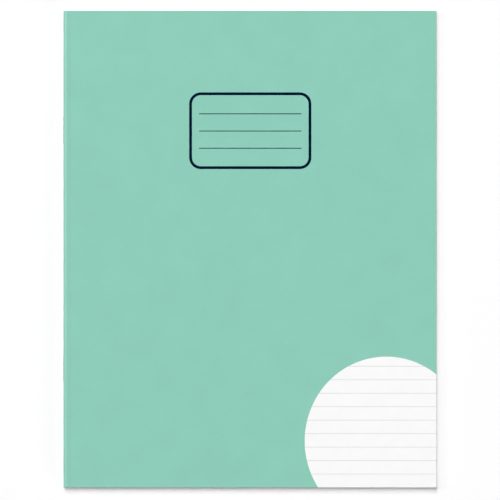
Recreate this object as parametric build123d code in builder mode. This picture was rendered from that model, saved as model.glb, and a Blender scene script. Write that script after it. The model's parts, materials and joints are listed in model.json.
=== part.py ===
from build123d import *
import os

# Stapled exercise book lying closed on its back cover, spine towards -X and head towards +Y.
# Sheets folded once are nested in a card cover and stitched through the fold by two wire staples.
# Every leaf and both cover boards turn about one line, the spine axis, which runs along Y.

# Driving sizes, in millimetres
page_height = 230.0      # head to tail, with cover and sheets trimmed flush
book_width = 180.0       # outside of the spine to the fore edge
sheet_count = 12         # folded sheets, each of two leaves
paper = 0.09             # sheet thickness
card = 0.28              # cover thickness
fold_air = 0.01          # air between neighbours wrapped round the spine
centre_air = 0.01        # air between the two leaves of the centre spread
spine_swell = 0.15       # how far the spine stands proud of the front cover
wire = 0.45              # diameter of the staple wire
inner_bend = 0.1         # inside radius of a staple's bends
crown_span = 12.5        # between the middles of a staple's legs
clinch_length = 4.5      # leg tip, turned in along the centre fold
tip_bevel = 0.12         # on the cut ends of the wire
staple_inset = 57.5      # from the head or tail edge to the middle of its staple
hole_clearance = 0.03    # round the wire where it is sunk in the card or passes through
seat_skin = 0.08         # card left under a staple's crown, which is pressed into the spine
centre_relief = 0.03     # more room inside the centre fold than its holes need
leaf_clearance = 0.3     # between the sweep of spine and crowns and the hinged leaves

# Radii about the spine axis: staple hole, centre fold, then each sheet, the cover and the crowns
hole_radius = wire / 2 + hole_clearance
centre_radius = hole_radius + centre_relief
fold_pitch = paper + fold_air
block_radius = centre_radius + sheet_count * fold_pitch
spine_radius = block_radius + card
crown_radius = block_radius + seat_skin + hole_radius
spine_reach = max(spine_radius, crown_radius + wire / 2)
leaf_start = spine_reach + leaf_clearance

# Levels of the flat leaves above and below the spine axis, sharing the room the folds take up
front_pitch = (block_radius - spine_swell - centre_air / 2) / sheet_count
back_pitch = (block_radius - centre_air / 2) / sheet_count

# The book lies centred on the origin, with the staple crowns counted in its width
crown_proud = spine_reach - spine_radius
fore_edge_x = (book_width + crown_proud) / 2
axis_x = fore_edge_x - book_width + spine_radius
axis_z = spine_radius
leaf_x = axis_x + leaf_start
leaf_width = fore_edge_x - leaf_x
staple_y = page_height / 2 - staple_inset
bend_radius = wire / 2 + inner_bend

spine_plane = Plane(origin=(axis_x, 0, axis_z), x_dir=(1, 0, 0), z_dir=(0, -1, 0))

os.makedirs("parts", exist_ok=True)


def stitch(middle, radius):
    """Round bar bent to a staple: crown along the spine, legs to its axis, tips turned in along it."""
    head_leg = middle + crown_span / 2
    tail_leg = middle - crown_span / 2
    with BuildPart() as bar:
        with BuildLine(Plane.XY.offset(axis_z)):
            bent_line = FilletPolyline(
                (axis_x, head_leg - clinch_length),
                (axis_x, head_leg),
                (axis_x - crown_radius, head_leg),
                (axis_x - crown_radius, tail_leg),
                (axis_x, tail_leg),
                (axis_x, tail_leg + clinch_length),
                radius=bend_radius,
            )
        with BuildSketch(Plane(origin=bent_line @ 0, z_dir=bent_line % 0)):
            Circle(radius)
        sweep()
    return bar.part


def leaf_outline(level):
    """Outline of a flat leaf or cover board whose underside is this far above the spine axis."""
    with BuildSketch(Plane.XY.offset(axis_z + level)) as outline:
        with Locations((leaf_x + leaf_width / 2, 0)):
            Rectangle(leaf_width, page_height)
    return outline.sketch


def fold_edge(front_level, radius, back_level):
    """One edge of a wrapped strip: off the front leaf, half way round the axis, on to the back leaf."""
    ease = leaf_start / 2
    Bezier((leaf_start, front_level), (ease, front_level), (ease, radius), (0, radius))
    ThreePointArc((0, radius), (-radius, 0), (0, -radius))
    Bezier((0, -radius), (ease, -radius), (ease, -back_level), (leaf_start, -back_level))


def fold_section(front_level, radius, back_level, thickness):
    """Section of a strip wrapped round the spine, from the inner levels and radius outwards."""
    with BuildSketch(spine_plane) as section:
        with BuildLine():
            for outward in (0, thickness):
                fold_edge(front_level + outward, radius + outward, back_level + outward)
            for level in (front_level, -back_level - thickness):
                Line((leaf_start, level), (leaf_start, level + thickness))
        make_face()
    return section.sketch


# Room for the wire: each staple's own line, widened, pierces the folds and dents the spine
stitch_room = [stitch(middle, hole_radius) for middle in (staple_y, -staple_y)]

# Cover: two flat boards and the rounded spine between them, one piece of card folded once
front_board = centre_air / 2 + sheet_count * front_pitch
back_board = centre_air / 2 + sheet_count * back_pitch

with BuildPart() as front_cover:
    extrude(leaf_outline(front_board), amount=card)
front_cover.part.label = "front_cover"
export_step(front_cover.part, "parts/front_cover.step")

with BuildPart() as back_cover:
    extrude(leaf_outline(-back_board - card), amount=card)
back_cover.part.label = "back_cover"
export_step(back_cover.part, "parts/back_cover.step")

with BuildPart() as cover_spine:
    extrude(fold_section(front_board, block_radius, back_board, card), amount=page_height / 2, both=True)
    add(stitch_room, mode=Mode.SUBTRACT)
cover_spine.part.label = "cover_spine"
export_step(cover_spine.part, "parts/cover_spine.step")

# Sheets, numbered from the outside in: front leaf, back leaf and the fold that joins them
for number in range(1, sheet_count + 1):
    place = sheet_count - number
    fold_radius = centre_radius + place * fold_pitch + fold_air / 2
    front_level = centre_air / 2 + place * front_pitch + (front_pitch - paper) / 2
    back_level = centre_air / 2 + place * back_pitch + (back_pitch - paper) / 2

    with BuildPart() as front_leaf:
        extrude(leaf_outline(front_level), amount=paper)
    front_leaf.part.label = f"sheet_{number:02d}_front_leaf"
    export_step(front_leaf.part, f"parts/{front_leaf.part.label}.step")

    with BuildPart() as back_leaf:
        extrude(leaf_outline(-back_level - paper), amount=paper)
    back_leaf.part.label = f"sheet_{number:02d}_back_leaf"
    export_step(back_leaf.part, f"parts/{back_leaf.part.label}.step")

    with BuildPart() as fold:
        extrude(fold_section(front_level, fold_radius, back_level, paper), amount=page_height / 2, both=True)
        add(stitch_room, mode=Mode.SUBTRACT)
    fold.part.label = f"sheet_{number:02d}_fold"
    export_step(fold.part, f"parts/{fold.part.label}.step")

# Staples: crown pressed into the spine, legs through every fold, tips clinched along the centre fold
for name, middle in (("head_staple", staple_y), ("tail_staple", -staple_y)):
    with BuildPart() as staple:
        add(stitch(middle, wire / 2))
        chamfer(staple.faces().filter_by(GeomType.PLANE).edges(), length=tip_bevel)
    staple.part.label = name
    export_step(staple.part, f"parts/{name}.step")
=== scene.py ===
import json
import math

import bmesh
import bpy
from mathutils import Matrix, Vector
from mathutils.geometry import interpolate_bezier


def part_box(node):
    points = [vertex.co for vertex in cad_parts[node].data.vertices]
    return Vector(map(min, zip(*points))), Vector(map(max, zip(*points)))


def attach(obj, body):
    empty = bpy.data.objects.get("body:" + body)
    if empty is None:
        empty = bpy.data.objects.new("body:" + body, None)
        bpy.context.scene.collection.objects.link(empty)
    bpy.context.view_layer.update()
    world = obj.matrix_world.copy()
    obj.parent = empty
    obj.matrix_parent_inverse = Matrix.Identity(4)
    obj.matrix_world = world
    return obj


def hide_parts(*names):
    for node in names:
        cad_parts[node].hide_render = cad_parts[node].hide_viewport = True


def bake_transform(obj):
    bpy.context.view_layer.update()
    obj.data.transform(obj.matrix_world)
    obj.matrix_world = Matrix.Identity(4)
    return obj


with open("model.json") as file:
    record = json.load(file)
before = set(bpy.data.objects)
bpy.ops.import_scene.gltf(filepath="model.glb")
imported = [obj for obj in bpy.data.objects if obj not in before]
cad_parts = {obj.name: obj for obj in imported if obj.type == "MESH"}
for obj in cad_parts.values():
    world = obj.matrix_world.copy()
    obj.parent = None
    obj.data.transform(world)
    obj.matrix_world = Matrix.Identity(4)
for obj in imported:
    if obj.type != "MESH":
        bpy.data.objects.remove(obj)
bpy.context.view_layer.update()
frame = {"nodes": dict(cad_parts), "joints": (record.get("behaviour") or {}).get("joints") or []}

# Sheets: twelve sheets of white writing paper, ruled feint on both sides, nested and folded into two leaves.
# Only a narrow strip of each fold, level with the staples, stays on the spine.
mm = 0.001
sheet_count = 12
ease_steps = 10
lead_in = 1.8 * mm
lead_steps = 7
wrap_step = math.radians(5.0)
smooth_below = math.radians(20.0)
broad_face = 0.001
same_place = 1e-7
fold_recess = 0.03 * mm
strip_recess = 0.06 * mm
fibre_turns = (0.35, 1.45, 2.5)
fibre_stretch = (1.0, 6.0, 3.0)
felt_range = (0.48, 0.72)
tone_range = (0.3, 0.7)
paper_roughness = (0.78, 0.68)
paper_white = (0.930, 0.930, 0.920, 1.0)
paper_shade = (0.870, 0.870, 0.855, 1.0)
feint_grey = (0.640, 0.645, 0.655, 1.0)
rule_pitch = 6.5 * mm
rule_width = 0.3 * mm
head_margin = 20.0 * mm
edge_ink = 0.3
edge_turn = (0.7, 0.95)

spine_axis = Vector(frame["joints"][0]["pos_m"])
head_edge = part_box("front_cover")[1].y
innermost_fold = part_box(f"sheet_{sheet_count:02d}_fold")[0]
paper_low, paper_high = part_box("sheet_01_front_leaf")
paper_thickness = paper_high.z - paper_low.z
centre_radius = spine_axis.x - innermost_fold.x - paper_thickness


def place(tree, kind, settings, feeds):
    """Adds a node with its settings. Each feed is a socket's value, or the socket that is linked to it."""
    node = tree.nodes.new(kind)
    for key, value in settings.items():
        setattr(node, key, value)
    for key, value in feeds.items():
        if isinstance(value, bpy.types.NodeSocket):
            tree.links.new(value, node.inputs[key])
        else:
            node.inputs[key].default_value = value
    return node


def math_node(tree, operation, *feeds):
    """The result of one sum on values or sockets."""
    return place(tree, "ShaderNodeMath", {"operation": operation}, dict(enumerate(feeds))).outputs["Value"]


def fibre_group():
    """Pressed pulp: short fibres lying both ways over a broad, cloudy unevenness of the sheet."""
    tree = bpy.data.node_groups.new("pressed_fibre", "ShaderNodeTree")
    tree.interface.new_socket("Fibre Length", in_out="INPUT", socket_type="NodeSocketFloat")
    tree.interface.new_socket("Cloud Size", in_out="INPUT", socket_type="NodeSocketFloat")
    tree.interface.new_socket("Tone", in_out="OUTPUT", socket_type="NodeSocketFloat")
    tree.interface.new_socket("Height", in_out="OUTPUT", socket_type="NodeSocketFloat")
    tree.interface.new_socket("Cloud", in_out="OUTPUT", socket_type="NodeSocketFloat")
    given = tree.nodes.new("NodeGroupInput").outputs
    spot = tree.nodes.new("ShaderNodeTexCoord").outputs["Object"]
    fibres = []
    for turn in fibre_turns:
        laid = place(tree, "ShaderNodeMapping", {}, {
            "Vector": spot, "Rotation": (0.0, 0.0, turn), "Scale": fibre_stretch}).outputs["Vector"]
        density = math_node(tree, "DIVIDE", 1.0, given["Fibre Length"])
        fibres.append(place(tree, "ShaderNodeTexNoise", {}, {
            "Vector": laid, "Scale": density, "Detail": 2.0, "Roughness": 0.55}).outputs["Fac"])
    felt = math_node(tree, "MAXIMUM", math_node(tree, "MAXIMUM", fibres[0], fibres[1]), fibres[2])
    cloud = place(tree, "ShaderNodeTexNoise", {}, {
        "Vector": spot, "Scale": math_node(tree, "DIVIDE", 1.0, given["Cloud Size"]),
        "Detail": 3.0, "Roughness": 0.5}).outputs["Fac"]
    tone = math_node(tree, "MULTIPLY", math_node(tree, "ADD", felt, cloud), 0.5)
    result = tree.nodes.new("NodeGroupOutput").inputs
    tree.links.new(tone, result["Tone"])
    tree.links.new(felt, result["Height"])
    tree.links.new(cloud, result["Cloud"])
    return tree


pressed_fibre = fibre_group()


def fibre_stock(name, fibre_length, cloud_size, relief, relief_depth):
    """Material of a pulp stock with its grain in the bump, and its tree, shader and grain node."""
    material = bpy.data.materials.new(name)
    material.use_nodes = True
    tree = material.node_tree
    shader = tree.nodes["Principled BSDF"]
    grain = place(tree, "ShaderNodeGroup", {"node_tree": pressed_fibre}, {
        "Fibre Length": fibre_length, "Cloud Size": cloud_size})
    bump = place(tree, "ShaderNodeBump", {}, {
        "Strength": relief, "Distance": relief_depth, "Height": grain.outputs["Height"]})
    tree.links.new(bump.outputs["Normal"], shader.inputs["Normal"])
    return material, tree, shader, grain


def mixed(tree, share, first, second):
    """Colour that goes from the first to the second as share goes from 0 to 1."""
    blend = place(tree, "ShaderNodeMix", {"data_type": "RGBA"}, {"Factor": share})
    for key, value in (("A", first), ("B", second)):
        socket = next(s for s in blend.inputs if s.name == key and s.type == "RGBA")
        if isinstance(value, bpy.types.NodeSocket):
            tree.links.new(value, socket)
        else:
            socket.default_value = value
    return next(s for s in blend.outputs if s.type == "RGBA")


def spread(tree, value, from_low, from_high, to_low, to_high):
    """A value's range stretched on to another, and held inside it."""
    return place(tree, "ShaderNodeMapRange", {}, {
        "Value": value, "From Min": from_low, "From Max": from_high,
        "To Min": to_low, "To Max": to_high}).outputs["Result"]


def ruled_paper():
    """White writing paper, ruled from the head margin to the tail, with faint line ends on the fore edge."""
    material, tree, shader, grain = fibre_stock(
        "ruled_paper", fibre_length=0.7 * mm, cloud_size=9.0 * mm, relief=0.4, relief_depth=0.02 * mm)
    spot = tree.nodes.new("ShaderNodeTexCoord").outputs
    across = place(tree, "ShaderNodeSeparateXYZ", {}, {"Vector": spot["Object"]}).outputs["Y"]
    outward = place(tree, "ShaderNodeSeparateXYZ", {}, {"Vector": spot["Normal"]}).outputs["X"]
    below_head = math_node(tree, "SUBTRACT", head_edge - head_margin, across)
    from_line = math_node(tree, "PINGPONG", below_head, rule_pitch / 2)
    on_line = math_node(tree, "LESS_THAN", from_line, rule_width / 2)
    on_page = math_node(tree, "GREATER_THAN", below_head, -rule_width)
    on_face = spread(tree, outward, *edge_turn, 1.0, edge_ink)
    ink = math_node(tree, "MULTIPLY", math_node(tree, "MULTIPLY", on_line, on_page), on_face)
    felt = spread(tree, grain.outputs["Height"], *felt_range, 0.0, 1.0)
    sheet = mixed(tree, felt, paper_shade, paper_white)
    tree.links.new(mixed(tree, ink, sheet, feint_grey), shader.inputs["Base Color"])
    matt = spread(tree, grain.outputs["Tone"], *tone_range, *paper_roughness)
    tree.links.new(matt, shader.inputs["Roughness"])
    shader.inputs["Specular IOR Level"].default_value = 0.3
    return material


def next_edge(shape, edge, step):
    """Pulls an edge of the section on by one step and returns the edge that is now its end."""
    made = bmesh.ops.extrude_edge_only(shape, edges=[edge])["geom"]
    ends = [v for v in made if isinstance(v, bmesh.types.BMVert)]
    bmesh.ops.translate(shape, verts=ends, vec=step)
    return shape.edges.get(ends)


def turn_edge(shape, edge, angle, step=wrap_step):
    """Sweeps an edge of the section round the spine axis, from +X over +Z where the angle is positive."""
    steps = max(1, math.ceil(abs(angle) / step))
    made = bmesh.ops.spin(shape, geom=[edge, *edge.verts], cent=spine_axis, axis=(0, -1, 0),
                          dvec=(0, 0, 0), angle=angle, steps=steps, use_merge=False)["geom_last"]
    return next(e for e in made if isinstance(e, bmesh.types.BMEdge))


def thicken(shape, step):
    """Pulls all the faces of a flat section or print on by one step, so that it is a closed solid."""
    made = bmesh.ops.extrude_face_region(shape, geom=shape.faces[:])["geom"]
    moved = [v for v in made if isinstance(v, bmesh.types.BMVert)]
    bmesh.ops.translate(shape, verts=moved, vec=step)
    bmesh.ops.recalc_face_normals(shape, faces=shape.faces[:])


def tuck_in(shape, recess):
    """Draws the wrapped part of a piece in at head and tail, behind the leaves that it rolls past."""
    for end in (1, -1):
        wrapped = [v for v in shape.verts if v.co.x < spine_axis.x - same_place and v.co.y * end > 0]
        bmesh.ops.translate(shape, verts=wrapped, vec=(0, -end * recess, 0))


def finished_piece(name, shape, material, body=None):
    """Makes the mesh an object, smooth on its curves and crisp on its cuts, that moves with a named body."""
    mesh = bpy.data.meshes.new(name)
    shape.to_mesh(mesh)
    shape.free()
    mesh.set_sharp_from_angle(angle=smooth_below)
    for face in mesh.polygons:
        face.use_smooth = face.area < broad_face
    mesh.materials.append(material)
    piece = bpy.data.objects.new(name, mesh)
    bpy.context.scene.collection.objects.link(piece)
    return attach(piece, body) if body else piece


def strip_angle(fold_radius):
    """Half the angle of the strip that stays on the spine, as high as the inside of the centre fold."""
    return math.asin(min(1.0, centre_radius / fold_radius))


def turned_leaf(low, high, fold_radius, side):
    """Solid of one leaf: flat in from the fore edge, eased on to its fold, then round it as far as the strip.
    side is 1 for a leaf above the spine axis and -1 for one below it."""
    thickness = high.z - low.z
    level = side * ((low.z + high.z) / 2 - spine_axis.z) - thickness / 2
    flat_end = low.x - spine_axis.x
    shape = bmesh.new()
    rim = [shape.verts.new((high.x, low.y, spine_axis.z + side * z)) for z in (level, level + thickness)]
    edge = next_edge(shape, shape.edges.new(rim), (low.x + lead_in - high.x, 0, 0))
    for _ in range(lead_steps):
        edge = next_edge(shape, edge, (-lead_in / lead_steps, 0, 0))
    slope = interpolate_bezier(
        Vector((flat_end, 0, level)), Vector((flat_end / 2, 0, level)),
        Vector((flat_end / 2, 0, fold_radius)), Vector((0, 0, fold_radius)), ease_steps + 1)
    for start, end in zip(slope, slope[1:]):
        edge = next_edge(shape, edge, (end.x - start.x, 0, side * (end.z - start.z)))
    wrap = math.pi / 2 - strip_angle(fold_radius)
    if wrap > wrap_step / 10:
        turn_edge(shape, edge, side * wrap)
    thicken(shape, (0, high.y - low.y, 0))
    return shape


def fold_strip(low, high, fold_radius, thickness, step=wrap_step):
    """Solid of the strip of a fold that stays on the spine."""
    half_strip = strip_angle(fold_radius)
    above = Vector((-math.cos(half_strip), 0, math.sin(half_strip)))
    foot = Vector((spine_axis.x, low.y, spine_axis.z))
    shape = bmesh.new()
    rim = [shape.verts.new(foot + above * r) for r in (fold_radius, fold_radius + thickness)]
    turn_edge(shape, shape.edges.new(rim), 2 * half_strip, step)
    thicken(shape, (0, high.y - low.y, 0))
    return shape


def bend_at_opening(piece, above, below, fold_radius, side):
    """Bakes the piece's placement into its mesh, and does not bend it."""
    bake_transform(piece)


paper = ruled_paper()
for number in range(1, sheet_count + 1):
    sheet = f"sheet_{number:02d}"
    fold_low, fold_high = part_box(f"{sheet}_fold")
    fold_radius = spine_axis.x - fold_low.x - paper_thickness
    for side, part, leaf in ((1, "front", number), (-1, "back", 2 * sheet_count + 1 - number)):
        node = f"{sheet}_{part}_leaf"
        shape = turned_leaf(*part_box(node), fold_radius, side)
        tuck_in(shape, fold_recess)
        if number == sheet_count:
            page = finished_piece(f"ruled_leaf_{leaf:02d}", shape, paper, f"leaf_{leaf:02d}")
        else:
            page = finished_piece(f"ruled_leaf_{leaf:02d}", shape, paper)
            above = leaf if side > 0 else leaf - 1
            bend_at_opening(page, f"leaf_{above:02d}", f"leaf_{above + 1:02d}", fold_radius, side)
        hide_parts(node)
    shape = fold_strip(fold_low, fold_high, fold_radius, paper_thickness)
    tuck_in(shape, strip_recess)
    if number < sheet_count:
        fold = finished_piece(f"{sheet}_fold_strip", shape, paper, "spine")
    else:
        fold = finished_piece(f"{sheet}_fold_strip", shape, paper)
        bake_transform(fold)
    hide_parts(f"{sheet}_fold")

# Cover: one piece of smooth mint green card, dyed through, folded round the sheets and trimmed with them.
# The strip between its two boards is held under the crowns of the staples, which are pulled down into the
# card and leave it dented.
card_green = (0.2620, 0.6105, 0.4860, 1.0)
card_shade = (0.2450, 0.5705, 0.4540, 1.0)
card_roughness = (0.45, 0.39)
cloud_range = (0.30, 0.70)
cut_softness = 0.12 * mm
dent_ramp = 0.7 * mm
ramp_cuts = 6
groove_room = 0.015 * mm
groove_step = math.radians(1.2)


def mint_card():
    """Dyed card: fine fibres and faint clouds that took up more or less dye, under a soft calendered face."""
    material, tree, shader, grain = fibre_stock(
        "mint_card", fibre_length=1.1 * mm, cloud_size=14.0 * mm, relief=0.5, relief_depth=0.03 * mm)
    fibres = spread(tree, grain.outputs["Height"], *felt_range, 0.0, 0.5)
    clouds = spread(tree, grain.outputs["Cloud"], *cloud_range, 0.0, 0.5)
    tone = math_node(tree, "ADD", fibres, clouds)
    tree.links.new(mixed(tree, tone, card_shade, card_green), shader.inputs["Base Color"])
    matt = spread(tree, grain.outputs["Tone"], *tone_range, *card_roughness)
    tree.links.new(matt, shader.inputs["Roughness"])
    shader.inputs["Specular IOR Level"].default_value = 0.4
    return material


def soften_cuts(shape, low, high):
    """Takes the sharpness off the trimmed edges of the card, and leaves its ends at the fold alone."""
    def trimmed(edge):
        flush = [all(abs(v.co.y - y) < same_place for v in edge.verts) for y in (low.y, high.y)]
        fore = all(abs(v.co.x - high.x) < same_place for v in edge.verts)
        square = len(edge.link_faces) == 2 and edge.calc_face_angle() > smooth_below
        wrapped = all(v.co.x < spine_axis.x - same_place for v in edge.verts)
        inner, outer = sorted(math.hypot(v.co.x - spine_axis.x, v.co.z - spine_axis.z) for v in edge.verts)
        at_fold = wrapped and outer - inner > card / 2
        return square and (fore or any(flush)) and not at_fold
    bmesh.ops.bevel(shape, geom=[e for e in shape.edges if trimmed(e)], offset=cut_softness,
                    offset_type="OFFSET", segments=2, profile=0.5, affect="EDGES", material=-1)


card_stock = mint_card()
spine_low, spine_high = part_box("cover_spine")
front_low, front_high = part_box("front_cover")
card = front_high.z - front_low.z
cover_radius = spine_axis.x - spine_low.x - card
for side, node, opening in ((1, "front_cover", ("front_cover", "leaf_01")),
                            (-1, "back_cover", ("leaf_24", "back_cover"))):
    low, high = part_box(node)
    shape = turned_leaf(low, high, cover_radius, side)
    soften_cuts(shape, low, high)
    tuck_in(shape, fold_recess)
    board = finished_piece(f"{node}_board", shape, card_stock)
    bend_at_opening(board, *opening, cover_radius, side)
    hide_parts(node)

shape = fold_strip(spine_low, spine_high, cover_radius, card, groove_step)
soften_cuts(shape, spine_low, spine_high)
tuck_in(shape, strip_recess)
for staple in ("head_staple", "tail_staple"):
    low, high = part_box(staple)
    wire_radius = (high.z - low.z) / 2
    crown_radius = spine_axis.x - low.x - wire_radius
    groove_radius = wire_radius + groove_room
    for edge, outward in ((low.y, -1), (high.y, 1)):
        for share in range(ramp_cuts + 1):
            cut = edge + outward * dent_ramp * (share / ramp_cuts - 0.5)
            bmesh.ops.bisect_plane(shape, geom=shape.verts[:] + shape.edges[:] + shape.faces[:],
                                   plane_co=(0, cut, 0), plane_no=(0, 1, 0))
    for v in shape.verts:
        radial = Vector((v.co.x - spine_axis.x, 0, v.co.z - spine_axis.z))
        beside = min(1.0, abs(radial.z) / groove_radius)
        groove_floor = crown_radius - groove_radius * math.sqrt(1 - beside ** 2)
        along = min(v.co.y - low.y, high.y - v.co.y) / dent_ramp + 0.5
        along = max(0.0, min(1.0, along))
        pressed = along ** 2 * (3 - 2 * along)
        if radial.length > max(groove_floor, cover_radius + card / 2):
            v.co -= radial.normalized() * (radial.length - groove_floor) * pressed
cover_fold = finished_piece("cover_fold_strip", shape, card_stock, "spine")
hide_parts("cover_spine")

# Name label: a blank box printed on the front cover in navy ink, a rounded frame round three writing rules.
# The ink lies flat on the card, too thin to feel.
ink_film = 0.008 * mm
label_width = 58.98 * mm
label_height = 37.02 * mm
label_below_head = 39.4 * mm
label_off_middle = 0.19 * mm
label_corner = 5.6 * mm
frame_line = 1.38 * mm
name_rule_length = 49.4 * mm
name_rule_width = 0.415 * mm
name_rule_pitch = 8.3 * mm
first_rule_drop = 10.36 * mm
ink_tone_range = (0.40, 0.70)
ink_patchiness = 0.1
navy = (0.0002, 0.0068, 0.0275, 1.0)
navy_thin = (0.0006, 0.0095, 0.0345, 1.0)
label_middle = (spine_low.x + front_high.x) / 2 + label_off_middle
label_top = head_edge - label_below_head


def printed_ink(name, solid, thin, roughness, gloss):
    """Ink printed on card: it lies a little thinner on the high fibres, so its tone isn't quite even."""
    material, tree, shader, grain = fibre_stock(
        name, fibre_length=0.9 * mm, cloud_size=5.0 * mm, relief=0.08, relief_depth=0.008 * mm)
    tone = spread(tree, grain.outputs["Tone"], *ink_tone_range, 0.0, 1.0)
    tree.links.new(mixed(tree, tone, solid, thin), shader.inputs["Base Color"])
    matt = spread(tree, grain.outputs["Tone"], *tone_range, roughness, roughness + ink_patchiness)
    tree.links.new(matt, shader.inputs["Roughness"])
    shader.inputs["Specular IOR Level"].default_value = gloss
    return material


def flat_patch(shape, width, height, middle):
    """Lays a rectangle in the plane of the print."""
    corners = bmesh.ops.create_grid(shape, x_segments=1, y_segments=1, size=0.5)["verts"]
    bmesh.ops.scale(shape, verts=corners, vec=(width, height, 1))
    bmesh.ops.translate(shape, verts=corners, vec=middle)


def print_film(name, shape, foot, ink):
    """Gives a flat print its film of ink, standing on the level foot, and fixes it to the front cover."""
    thicken(shape, (0, 0, ink_film))
    bmesh.ops.translate(shape, verts=shape.verts[:], vec=(0, 0, foot))
    finished_piece(name, shape, ink, "front_cover")


navy_ink = printed_ink("navy_ink", navy, navy_thin, roughness=0.75, gloss=0.02)
shape = bmesh.new()
flat_patch(shape, label_width, label_height, (label_middle, label_top - label_height / 2, 0))
bmesh.ops.bevel(shape, geom=shape.verts[:], offset=label_corner, offset_type="OFFSET", segments=12,
                profile=0.5, affect="VERTICES", material=-1)
blank = shape.faces[:]
bmesh.ops.inset_region(shape, faces=blank, thickness=frame_line, use_even_offset=True, use_boundary=True)
bmesh.ops.delete(shape, geom=blank, context="FACES")
print_film("label_frame", shape, front_high.z, navy_ink)

for count in range(3):
    shape = bmesh.new()
    drop = first_rule_drop + count * name_rule_pitch
    flat_patch(shape, name_rule_length, name_rule_width, (label_middle, label_top - drop, 0))
    print_film(f"label_rule_{count + 1}", shape, front_high.z, navy_ink)

# Ruling sample: a nearly round white patch printed at the lower fore corner of the front cover, and cut off
# by both trimmed edges. It shows the ruling of the pages at full size, in feint grey lines over white ink.
disc_half_width = 39.35 * mm
disc_half_height = 40.7 * mm
disc_from_fore = 24.2 * mm
disc_from_tail = 22.4 * mm
disc_sides = 160
sample_first_line = 36.05 * mm
sample_line_width = 0.3 * mm
sample_lines = 9
white_ink = (0.985, 0.985, 0.985, 1.0)
white_ink_thin = (0.945, 0.950, 0.946, 1.0)
sample_grey = (0.700, 0.700, 0.700, 1.0)
sample_grey_thin = (0.740, 0.740, 0.740, 1.0)
disc_x = front_high.x - disc_from_fore
disc_y = front_low.y + disc_from_tail


def cut_print(shape, inset, trim):
    """Cuts a print across, this far in from fore edge and tail, and drops what lies outside if asked."""
    fore_cut = ((front_high.x - inset, 0, 0), (1, 0, 0))
    tail_cut = ((0, front_low.y + inset, 0), (0, -1, 0))
    for spot, outward in (fore_cut, tail_cut):
        bmesh.ops.bisect_plane(shape, geom=shape.verts[:] + shape.edges[:] + shape.faces[:],
                               plane_co=spot, plane_no=outward, clear_outer=trim)


def keep_on_card(shape):
    """Trims a print where the guillotine cut through it, and lays it over the softened edges of the card."""
    cut_print(shape, 0, True)
    for inset in (cut_softness, cut_softness * (1 - math.sqrt(0.5))):
        cut_print(shape, inset, False)
    for v in shape.verts:
        inset = min(front_high.x - v.co.x, v.co.y - front_low.y)
        over = max(0.0, cut_softness - inset)
        v.co.z -= cut_softness - math.sqrt(max(0.0, cut_softness ** 2 - over ** 2))


shape = bmesh.new()
bmesh.ops.create_circle(shape, cap_ends=True, radius=1.0, segments=disc_sides)
bmesh.ops.scale(shape, verts=shape.verts[:], vec=(disc_half_width, disc_half_height, 1))
bmesh.ops.translate(shape, verts=shape.verts[:], vec=(disc_x, disc_y, 0))
keep_on_card(shape)
disc_ink = printed_ink("white_ink", white_ink, white_ink_thin, roughness=0.6, gloss=0.3)
print_film("sample_disc", shape, front_high.z, disc_ink)

feint_ink = printed_ink("feint_ink", sample_grey, sample_grey_thin, roughness=0.6, gloss=0.3)
for count in range(sample_lines):
    rise = sample_first_line - count * rule_pitch
    half_chord = disc_half_width * math.sqrt(1 - (rise / disc_half_height) ** 2)
    shape = bmesh.new()
    flat_patch(shape, 2 * half_chord, sample_line_width, (disc_x, disc_y + rise, 0))
    keep_on_card(shape)
    print_film(f"sample_line_{count + 1}", shape, front_high.z + ink_film, feint_ink)

# Staples: two lengths of galvanised steel wire, driven through the spine from outside and clinched within.
# Drawing the wire leaves fine lines along it, and the zinc dulls in patches.
zinc_bright = (0.500, 0.505, 0.515, 1.0)
zinc_dull = (0.330, 0.335, 0.345, 1.0)
streak_width = 0.06 * mm
streak_stretch = (1.0, 0.06, 1.0)
bloom_size = 0.8 * mm
dull_range = (0.75, 1.25)
wire_roughness = (0.24, 0.44)


def drawn_wire():
    """Galvanised wire: drawn streaks along its length and a patchy bloom of dull zinc."""
    material = bpy.data.materials.new("galvanised_wire")
    material.use_nodes = True
    tree = material.node_tree
    shader = tree.nodes["Principled BSDF"]
    spot = tree.nodes.new("ShaderNodeTexCoord").outputs["Object"]
    drawn = place(tree, "ShaderNodeMapping", {}, {
        "Vector": spot, "Scale": streak_stretch}).outputs["Vector"]
    streak = place(tree, "ShaderNodeTexNoise", {}, {
        "Vector": drawn, "Scale": 1 / streak_width, "Detail": 2.0, "Roughness": 0.5}).outputs["Fac"]
    bloom = place(tree, "ShaderNodeTexNoise", {}, {
        "Vector": spot, "Scale": 1 / bloom_size, "Detail": 3.0, "Roughness": 0.6}).outputs["Fac"]
    dull = spread(tree, math_node(tree, "ADD", streak, bloom), *dull_range, 0.0, 1.0)
    tree.links.new(mixed(tree, dull, zinc_bright, zinc_dull), shader.inputs["Base Color"])
    tree.links.new(spread(tree, dull, 0.0, 1.0, *wire_roughness), shader.inputs["Roughness"])
    bump = place(tree, "ShaderNodeBump", {}, {"Strength": 0.15, "Distance": 0.01 * mm, "Height": streak})
    tree.links.new(bump.outputs["Normal"], shader.inputs["Normal"])
    shader.inputs["Metallic"].default_value = 1.0
    return material


wire = drawn_wire()
for name in ("head_staple", "tail_staple"):
    staple = frame["nodes"][name]
    staple.data.materials.clear()
    staple.data.materials.append(wire)

# Studio: a plain white floor under a long softbox overhead, a second one to the left, two small lamps on the
# spine's side, one of them only for its sheen, and a low strip in front. The floor and the backdrop are white
# to the camera and in reflections, and the floor keeps the book's shadow.
floor_size = 7.0
floor_gap = 0.02 * mm
floor_white = (0.89, 0.89, 0.89, 1.0)
floor_lift = 0.12
fill_strength = 0.11


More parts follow.
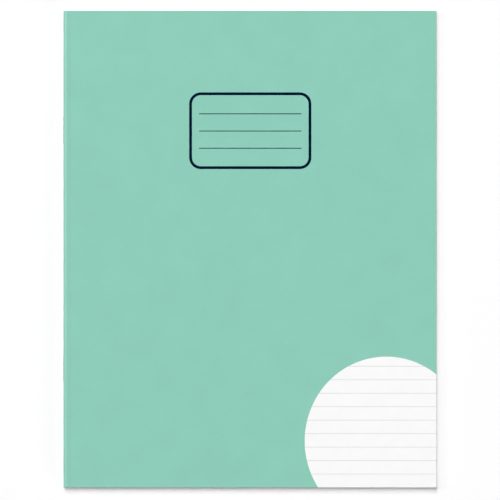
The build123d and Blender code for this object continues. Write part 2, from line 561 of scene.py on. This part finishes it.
def seen_directly(tree):
    """1 for what the camera sees straight, in a reflection or through something clear, and 0 for light."""
    path = tree.nodes.new("ShaderNodeLightPath").outputs
    mirrored = math_node(tree, "MAXIMUM", path["Is Glossy Ray"], path["Is Transmission Ray"])
    return math_node(tree, "MAXIMUM", path["Is Camera Ray"], mirrored)


floor_paint = bpy.data.materials.new("studio_floor")
floor_paint.use_nodes = True
tree = floor_paint.node_tree
tree.nodes.clear()
matt = place(tree, "ShaderNodeBsdfDiffuse", {}, {"Color": floor_white}).outputs["BSDF"]
lift = math_node(tree, "MULTIPLY", seen_directly(tree), floor_lift)
glow = place(tree, "ShaderNodeEmission", {}, {"Strength": lift}).outputs["Emission"]
both = place(tree, "ShaderNodeAddShader", {}, {0: matt, 1: glow}).outputs["Shader"]
place(tree, "ShaderNodeOutputMaterial", {}, {"Surface": both})

shape = bmesh.new()
ground = bmesh.ops.create_grid(shape, x_segments=1, y_segments=1, size=floor_size / 2)["verts"]
bmesh.ops.translate(shape, verts=ground, vec=(0, 0, -floor_gap))
floor_mesh = bpy.data.meshes.new("studio_floor")
shape.to_mesh(floor_mesh)
shape.free()
floor_mesh.materials.append(floor_paint)
floor = bpy.data.objects.new("studio_floor", floor_mesh)
bpy.context.scene.collection.objects.link(floor)

world = bpy.data.worlds.new("studio")
bpy.context.scene.world = world
world.use_nodes = True
tree = world.node_tree
tree.nodes.clear()
strength = spread(tree, seen_directly(tree), 0.0, 1.0, fill_strength, 1.0)
sky = place(tree, "ShaderNodeBackground", {}, {"Color": (1.0, 1.0, 1.0, 1.0), "Strength": strength})
place(tree, "ShaderNodeOutputWorld", {}, {"Surface": sky.outputs["Background"]})


def softbox(name, towards, away, width, length, power, mirrored=True, lights=True):
    """A rectangular lamp that faces the book from this direction and distance, hidden from the camera.
    One that isn't mirrored leaves no sheen on the card, and one that doesn't light gives only its sheen."""
    data = bpy.data.lights.new(name, "AREA")
    data.shape = "RECTANGLE"
    data.size = width
    data.size_y = length
    data.energy = power
    lamp = bpy.data.objects.new(name, data)
    lamp.location = Vector(towards).normalized() * away
    lamp.rotation_euler = lamp.location.to_track_quat("Z", "Y").to_euler()
    lamp.visible_camera = False
    lamp.visible_glossy = mirrored
    lamp.visible_diffuse = lights
    bpy.context.scene.collection.objects.link(lamp)


softbox("overhead_softbox", (-0.09, 0.55, 1.0), 10.0, 1.65, 8.2, 725.0, mirrored=False)
softbox("left_softbox", (-0.5, 0.5, 1.0), 10.0, 4.8, 6.6, 270.0)
softbox("side_lamp", (-1.5, 0.2, 1.0), 8.0, 1.2, 1.2, 75.0)
softbox("spine_glint", (-1.25, 0.1, 1.0), 8.0, 0.6, 1.4, 180.0, lights=False)
softbox("low_front_strip", (0.7, -0.7, 0.21), 8.0, 2.0, 1.0, 110.0, mirrored=False)

# Camera: a long lens straight above the closed book, head up, with the whole cover in a square picture.
picture_width = 241.2 * mm
camera_height = 2.0
aim_x = 0.20 * mm
aim_y = -0.45 * mm
camera_data = bpy.data.cameras.new("overhead")
camera_data.lens = camera_data.sensor_width * camera_height / picture_width
camera = bpy.data.objects.new("overhead", camera_data)
camera.location = (aim_x, aim_y, front_high.z + camera_height)
bpy.context.scene.collection.objects.link(camera)
bpy.context.scene.camera = camera
bpy.context.scene.view_settings.view_transform = "Standard"
